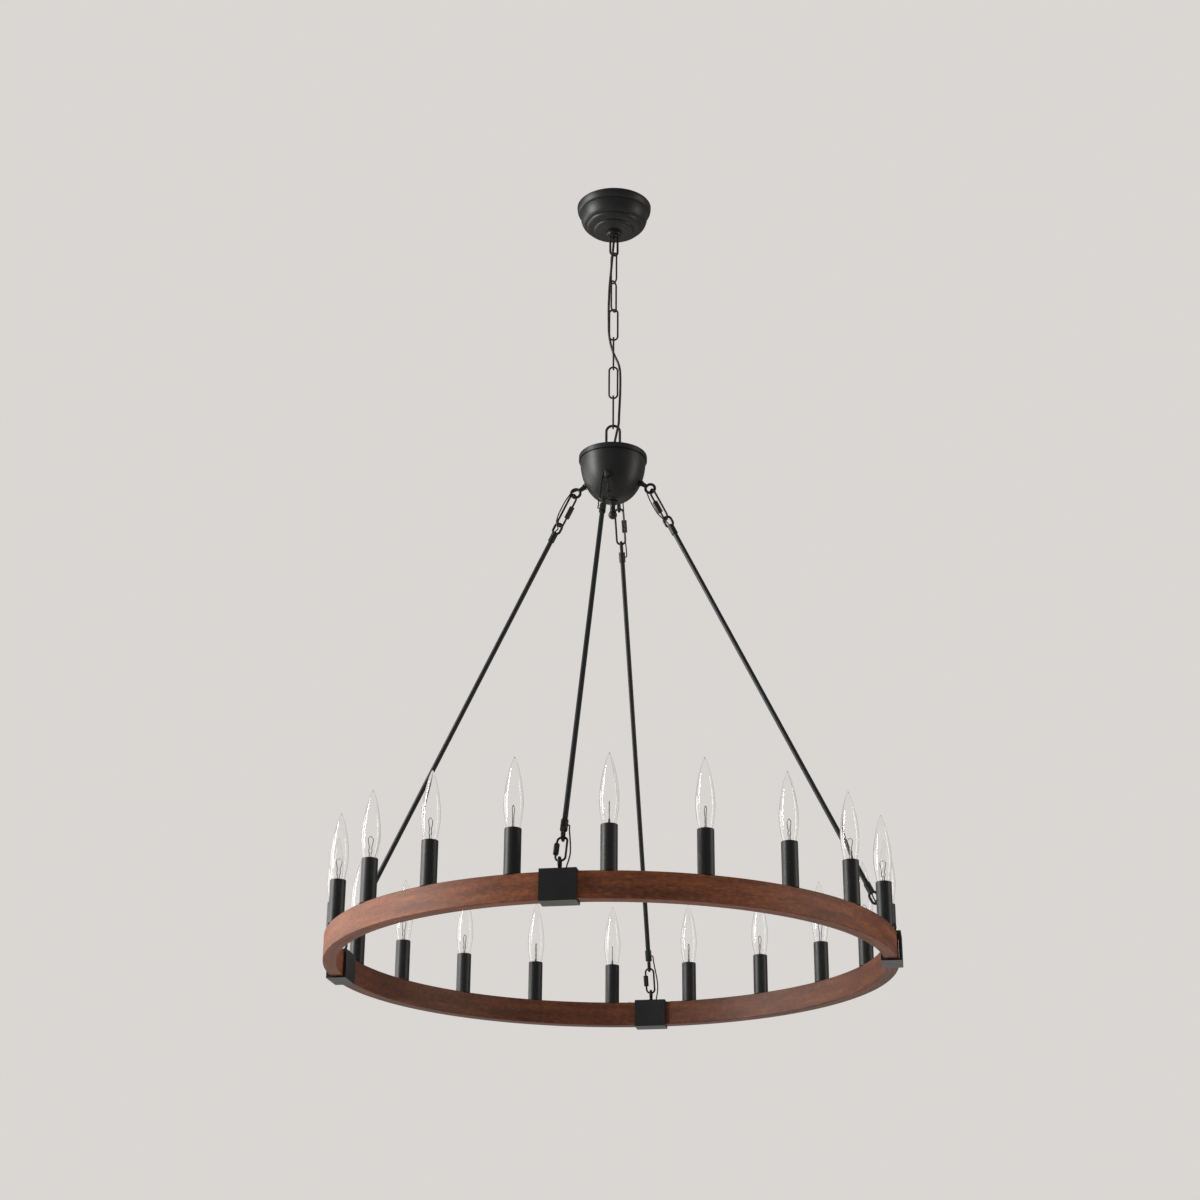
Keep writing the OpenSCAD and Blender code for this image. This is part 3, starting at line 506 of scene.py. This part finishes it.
def moulded_resin():
    """A dull skin with grain 0.8 mm wide, and clouds 12 mm wide in its gloss."""
    material, tree, shader = new_material("moulded_phenolic_resin", IOR=1.6)
    place = in_millimetres(tree)
    clouds = add_node(tree, "ShaderNodeTexNoise", {"Vector": place, "Scale": 1 / 12, "Detail": 3})
    tone = add_node(tree, "ShaderNodeMix", {
        "Factor": clouds.outputs["Fac"], 6: linear("#1E1D1C"), 7: linear("#2B2A28")},
        data_type="RGBA")
    gloss = add_node(tree, "ShaderNodeMapRange", {
        "Value": clouds.outputs["Fac"], "To Min": 0.35, "To Max": 0.6})
    skin = add_node(tree, "ShaderNodeTexNoise", {"Vector": place, "Scale": 1.25, "Detail": 2})
    bump = add_node(tree, "ShaderNodeBump", {
        "Height": skin.outputs["Fac"], "Strength": 0.4, "Distance": 0.02 * mm})
    tree.links.new(tone.outputs[2], shader.inputs["Base Color"])
    tree.links.new(gloss.outputs["Result"], shader.inputs["Roughness"])
    tree.links.new(bump.outputs["Normal"], shader.inputs["Normal"])
    return material


surface(moulded_resin(), "lamp_sockets")


# ---- Candle sleeves ----
# Twenty steel tubes 24.5 mm across stand over the cups. Their cut ends are rolled smooth, and they
# are powder coated like the rest.

candles = range(1, 21)


def candle_angle(k):
    """Candles stand every 18 degrees, and the first is half a step past arm 1."""
    return math.radians(-90 + 18 * (k - 0.5))


sleeve_r = 12.25 * mm
sleeve_wall = 0.8 * mm
sleeve_h = 68 * mm
lip = np.radians(np.arange(0, 181, 22.5))
lip_r = sleeve_r - sleeve_wall / 2 * (1 - np.cos(lip))
lip_z = sleeve_h - sleeve_wall / 2 * (1 - np.sin(lip))
one_sleeve = turned(np.concatenate([lip_r[::-1], [sleeve_r, sleeve_r - sleeve_wall]]),
                    np.concatenate([lip_z[::-1], [0, 0]]), sides=64, closed=True)
foot_places = np.array([turned_about_z((ring_mid, 0, ring_top), candle_angle(k)) for k in candles])
sleeve_points = (foot_places[:, None] + one_sleeve[0]).reshape(-1, 3)
firsts = len(one_sleeve[0]) * np.arange(len(candles))
sleeve_faces = (firsts[:, None, None] + one_sleeve[1]).reshape(-1, 4)
sleeves = new_piece("candle_sleeves_rolled", sleeve_points, sleeve_faces, [satin_black_powder_coat],
                    "black_metal", sharp=60)
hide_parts("candle_sleeves")
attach(sleeves, "ring")


# ---- Candle bulbs ----
# A blown flame-shaped envelope of clear glass is fused to a glass mount, which holds two nickel
# leads and a coiled tungsten filament. The mount is cemented into a screw cap of thin brass.

def clear_glass(name, roughness):
    """Soda-lime glass. Blowing leaves waves 7 mm wide and at most 0.05 mm high in its walls."""
    material, tree, shader = new_material(
        name, Base_Color=(1, 1, 1, 1), Roughness=roughness, IOR=1.51, Transmission_Weight=1)
    waves = add_node(tree, "ShaderNodeTexNoise", {
        "Vector": in_millimetres(tree), "Scale": 1 / 7, "Detail": 1})
    bump = add_node(tree, "ShaderNodeBump", {
        "Height": waves.outputs["Fac"], "Strength": 0.5, "Distance": 0.05 * mm})
    tree.links.new(bump.outputs["Normal"], shader.inputs["Normal"])
    return material


def plain_metal(name, dark, pale, least, most, width):
    """A metal whose tone and gloss drift over clouds of one width in mm."""
    material, tree, shader = new_material(name, Metallic=1)
    clouds = add_node(tree, "ShaderNodeTexNoise", {
        "Vector": in_millimetres(tree), "Scale": 1 / width, "Detail": 3})
    tone = add_node(tree, "ShaderNodeMix", {
        "Factor": clouds.outputs["Fac"], 6: linear(dark), 7: linear(pale)}, data_type="RGBA")
    gloss = add_node(tree, "ShaderNodeMapRange", {
        "Value": clouds.outputs["Fac"], "To Min": least, "To Max": most})
    tree.links.new(tone.outputs[2], shader.inputs["Base Color"])
    tree.links.new(gloss.outputs["Result"], shader.inputs["Roughness"])
    return material


def joined(*parts):
    """Several meshes as one. Each part is its points, its faces and the number of its material."""
    starts = np.cumsum([0, *[len(points) for points, _, _ in parts[:-1]]])
    points = np.vstack([points for points, _, _ in parts])
    faces = np.vstack([faces + start for (_, faces, _), start in zip(parts, starts)])
    kinds = np.concatenate([np.full(len(faces), kind) for _, faces, kind in parts])
    return points, faces, kinds


def inset(radius, height, wall):
    """A profile moved inward by a wall, square to its own direction."""
    run, rise = np.gradient(radius), np.gradient(height)
    size = np.hypot(run, rise)
    return radius + wall * rise / size, height - wall * run / size


blown_glass = clear_glass("blown_clear_glass", 0.0)
pressed_glass = clear_glass("pressed_glass_mount", 0.04)
cap_brass = plain_metal("drawn_brass", "#9C7A36", "#C7A45A", 0.22, 0.4, 3)
nickel_wire = plain_metal("oxidised_lead_wire", "#2A2826", "#45423F", 0.4, 0.55, 2)
tungsten = plain_metal("coiled_tungsten", "#3C3A38", "#56534F", 0.35, 0.5, 1)
solder = plain_metal("tinned_contact", "#8E8F90", "#B4B5B5", 0.3, 0.45, 2)

# The envelope: shares of its height, from the tip down, and of its largest radius
glass_r = 14.2 * mm
glass_top = 175 * mm
glass_foot = 62 * mm
glass_wall = 0.55 * mm
outline = np.array([
    [0, 0.03, 0], [0.02, 0.11, 0], [0.05, 0.21, 0], [0.09, 0.32, 0], [0.13, 0.42, 0], [0.19, 0.54, 0],
    [0.26, 0.66, 0], [0.34, 0.78, 0], [0.43, 0.89, 0], [0.52, 0.97, 0], [0.61, 1, 0], [0.7, 0.98, 0],
    [0.79, 0.9, 0], [0.88, 0.78, 0], [0.95, 0.68, 0], [1, 0.6, 0]])
curve = smooth_route(outline, steps=5)
glass_radius = curve[:, 1] * glass_r
glass_height = glass_top - curve[:, 0] * (glass_top - glass_foot)
inner_radius, inner_height = inset(glass_radius, glass_height, glass_wall)
hollow = inner_radius > 2 * glass_wall
envelope = turned(np.concatenate([[0], glass_radius, inner_radius[hollow][::-1], [0]]),
                  np.concatenate([glass_height[:1], glass_height, inner_height[hollow][::-1],
                                  inner_height[hollow][:1] + glass_wall]), sides=48)

# The mount: a flared tube pressed flat round the leads, then a thin rod with a button
mount_r = np.array([0, 0.9, 1, 0.6, 0.6, 1.7, 2.2, 2.4, 3.2, 5.4, 5.4, 0]) * mm
mount_z = np.array([88, 87.6, 86.6, 85.6, 78, 76.5, 74, 68, 65, 62.8, 62.2, 62.2]) * mm
mount_flatness = 0.75
mount = turned(mount_r, mount_z, sides=24)
mount[0][:, 1] *= mount_flatness

# Leads rise from the mount with a kink in each, bend apart and end in hooks at the filament
lead = smooth_route(np.array([[1.4, 0, 70], [1.5, 0, 75], [2.9, 0, 80], [2, 0, 85], [3.4, 0, 91],
                              [4.3, 0, 96], [4.4, 0, 98], [4.1, 0, 99]]) * mm, steps=4)
lead_r = 0.55 * mm
right_lead = round_tube(lead, lead_r, 8, (0, 1, 0))
left_lead = (right_lead[0] * [-1, -1, 1], right_lead[1])

# The filament is a coil round an arch between the two hooks: the arch rises as a half sine wave
coil_turns, points_a_turn, coil_r, strand_r = 22, 10, 0.55, 0.11
hook_gap, hook_height, arch_rise = 8.2, 98.6, 3.6
t = np.linspace(0, 1, coil_turns * points_a_turn + 1)
arch_height = hook_height + arch_rise * np.sin(math.pi * t)
arch = np.stack([hook_gap * (t - 0.5), 0 * t, arch_height], axis=1)
turn = 2 * math.pi * coil_turns * t
winding = coil_r * np.stack([0 * t, np.cos(turn), np.sin(turn)], axis=1)
filament = round_tube((arch + winding) * mm, strand_r * mm, 5, (1, 0, 0))

# The cap: a thread rolled in its wall, radius = mean + depth sin(2 pi height / pitch - angle)
cap_pitch, cap_mean_r, thread_depth = 2.54, 5.75, 0.35
cap_top, cap_bottom, cap_rows, cap_sides = 61.4, 47.5, 56, 48
levels = np.linspace(cap_top, cap_bottom, cap_rows)
cap_angle = np.arange(cap_sides) * 2 * math.pi / cap_sides
wave = np.sin(2 * math.pi * levels[:, None] / cap_pitch - cap_angle)
cap_radius = cap_mean_r + thread_depth * wave
cap_points = np.stack([cap_radius * np.cos(cap_angle), cap_radius * np.sin(cap_angle),
                       np.repeat(levels[:, None], cap_sides, axis=1)], axis=-1).reshape(-1, 3) * mm
cap_index = np.arange(cap_rows * cap_sides).reshape(cap_rows, cap_sides)
cap_faces = np.stack([cap_index[:-1], cap_index[1:], np.roll(cap_index[1:], -1, axis=1),
                      np.roll(cap_index[:-1], -1, axis=1)], axis=-1).reshape(-1, 4)
rim = turned(np.array([0, 5.3, 6, 6.1, 5.8]) * mm,
             np.array([61.9, 61.9, 61.8, 61.5, 61.2]) * mm, sides=48)
shoulder = turned(np.array([5.6, 5.2, 3.4, 3.2]) * mm,
                  np.array([47.7, 46.6, 45.4, 45.2]) * mm, sides=32)
contact = turned(np.array([3.6, 2.6, 2.2, 1.2, 0]) * mm,
                 np.array([45.6, 44.9, 44.3, 44.05, 44]) * mm, sides=24)

bulb_points, bulb_faces, bulb_kinds = joined(
    (*envelope, 0), (*mount, 1), (cap_points, cap_faces, 2), (*rim, 2), (*shoulder, 2),
    (*right_lead, 3), (*left_lead, 3), (*filament, 4), (*contact, 5))
for k in candles:
    place = foot_places[k - 1] + turned_about_z(bulb_points, candle_angle(k))
    lamp = new_piece(f"bulb_glass_{k:02d}", place, bulb_faces,
                     [blown_glass, pressed_glass, cap_brass, nickel_wire, tungsten, solder],
                     "clear_glass", bulb_kinds, sharp=50)
    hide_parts(f"bulb_{k:02d}")
    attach(lamp, f"lamp_{k:02d}")


# ---- Floor, light and camera ----
# Two soft lights stand on the left, a weaker one on the right and a low one behind, for undersides.
# The camera and glass see the world and most of the floor in one pale tone. Reflections see the
# floor as it is lit and a dimmer world, and all that scatters light gets the world's even fill.

backdrop = linear("#DAD6D3")
backdrop_share = 0.75


def pale_floor():
    """Painted board with a faint roller texture 4 mm wide. To the camera and through glass it is
    mostly the backdrop's tone, and the rest of its tone keeps the lamp's shadow."""
    material, tree, shader = new_material(
        "pale_painted_floor", Base_Color=linear("#C4BFBB"), Roughness=0.8)
    roller = add_node(tree, "ShaderNodeTexNoise", {
        "Vector": in_millimetres(tree), "Scale": 1 / 4, "Detail": 2})
    bump = add_node(tree, "ShaderNodeBump", {
        "Height": roller.outputs["Fac"], "Strength": 0.3, "Distance": 0.1 * mm})
    tree.links.new(bump.outputs["Normal"], shader.inputs["Normal"])
    glow = add_node(tree, "ShaderNodeEmission", {"Color": backdrop, "Strength": 1})
    ray = add_node(tree, "ShaderNodeLightPath")
    seen = add_node(tree, "ShaderNodeMath", {
        0: ray.outputs["Is Camera Ray"], 1: ray.outputs["Is Transmission Ray"]}, operation="MAXIMUM")
    share = add_node(tree, "ShaderNodeMath", {
        0: seen.outputs["Value"], 1: backdrop_share}, operation="MULTIPLY")
    both = add_node(tree, "ShaderNodeMixShader", {
        "Fac": share.outputs["Value"], 1: shader.outputs["BSDF"], 2: glow.outputs["Emission"]})
    output = next(node for node in tree.nodes if node.type == "OUTPUT_MATERIAL")
    tree.links.new(both.outputs["Shader"], output.inputs["Surface"])
    return material


floor_radius, floor_height = 9.0, -3.2
floor_disc = turned([0, floor_radius], [floor_height, floor_height], sides=96)
new_piece("floor", *floor_disc, [pale_floor()], None)

world = bpy.data.worlds.new("pale_room")
bpy.context.scene.world = world
world.use_nodes = True
sky = world.node_tree
sky.nodes.clear()
ray = add_node(sky, "ShaderNodeLightPath")
even = add_node(sky, "ShaderNodeBackground", {"Color": linear("#F4F2F0"), "Strength": 0.5})
dim = add_node(sky, "ShaderNodeBackground", {"Color": linear("#F4F2F0"), "Strength": 0.2})
pale = add_node(sky, "ShaderNodeBackground", {"Color": backdrop, "Strength": 1})
seen_or_through = add_node(sky, "ShaderNodeMath", {
    0: ray.outputs["Is Camera Ray"], 1: ray.outputs["Is Transmission Ray"]}, operation="MAXIMUM")
around = add_node(sky, "ShaderNodeMixShader", {
    "Fac": ray.outputs["Is Glossy Ray"],
    1: even.outputs["Background"], 2: dim.outputs["Background"]})
either = add_node(sky, "ShaderNodeMixShader", {
    "Fac": seen_or_through.outputs["Value"],
    1: around.outputs["Shader"], 2: pale.outputs["Background"]})
add_node(sky, "ShaderNodeOutputWorld", {"Surface": either.outputs["Shader"]})

camera_azimuth = math.radians(9.39)


def soft_light(name, azimuth, distance, height, width, tall, watts, colour):
    """A rectangle of light at an azimuth in degrees to the right of the camera's, facing the axis."""
    lamp_data = bpy.data.lights.new(name, "AREA")
    lamp_data.shape = "RECTANGLE"
    lamp_data.size, lamp_data.size_y = width, tall
    lamp_data.energy = watts
    lamp_data.color = linear(colour)[:3]
    turn = camera_azimuth + math.radians(azimuth)
    lamp_object = bpy.data.objects.new(name, lamp_data)
    lamp_object.location = (distance * math.sin(turn), -distance * math.cos(turn), height)
    lamp_object.rotation_euler = (math.pi / 2, 0, turn)
    lamp_object.visible_camera = False
    lamp_object.visible_transmission = False
    bpy.context.scene.collection.objects.link(lamp_object)


soft_light("window_left", -77, 3.2, 0, 0.9, 2.3, 115, "#FFFEFB")
soft_light("wall_left", -112, 3.2, -0.9, 2.6, 2.0, 46, "#FFFCF8")
soft_light("window_right", 82, 3.6, -0.4, 0.9, 3.0, 36, "#FFF9F2")
soft_light("low_back", 180, 2.6, -2.4, 5.0, 0.9, 14, "#F4F0EC")

# The camera is fitted to the photo: it stands below the ring and looks up. Its focal length is in
# widths of the picture
focal_length = 2125 / 1200
camera_data = bpy.data.cameras.new("camera")
camera_data.sensor_width = 36
camera_data.lens = focal_length * camera_data.sensor_width
camera_data.clip_end = 50
camera = bpy.data.objects.new("camera", camera_data)
camera_distance, camera_height = 3.3094, -2.1478
pitch, roll, yaw = math.radians(22.54), math.radians(-0.4), math.radians(-0.36)
right_way = np.array([math.cos(camera_azimuth), math.sin(camera_azimuth), 0])
forward_way = np.array([-math.sin(camera_azimuth), math.cos(camera_azimuth), 0])
up_way = np.array([0, 0, 1])
level_right = math.cos(yaw) * right_way - math.sin(yaw) * forward_way
level_ahead = math.sin(yaw) * right_way + math.cos(yaw) * forward_way
ahead = math.cos(pitch) * level_ahead + math.sin(pitch) * up_way
upward = math.cos(pitch) * up_way - math.sin(pitch) * level_ahead
image_right = math.cos(roll) * level_right - math.sin(roll) * upward
image_up = math.sin(roll) * level_right + math.cos(roll) * upward
placed = np.eye(4)
placed[:3, :3] = np.stack([image_right, image_up, -ahead], axis=1)
placed[:3, 3] = -camera_distance * forward_way + [0, 0, camera_height]
camera.matrix_world = Matrix(placed.tolist())
bpy.context.scene.collection.objects.link(camera)
bpy.context.scene.camera = camera
bpy.context.scene.view_settings.view_transform = "Standard"
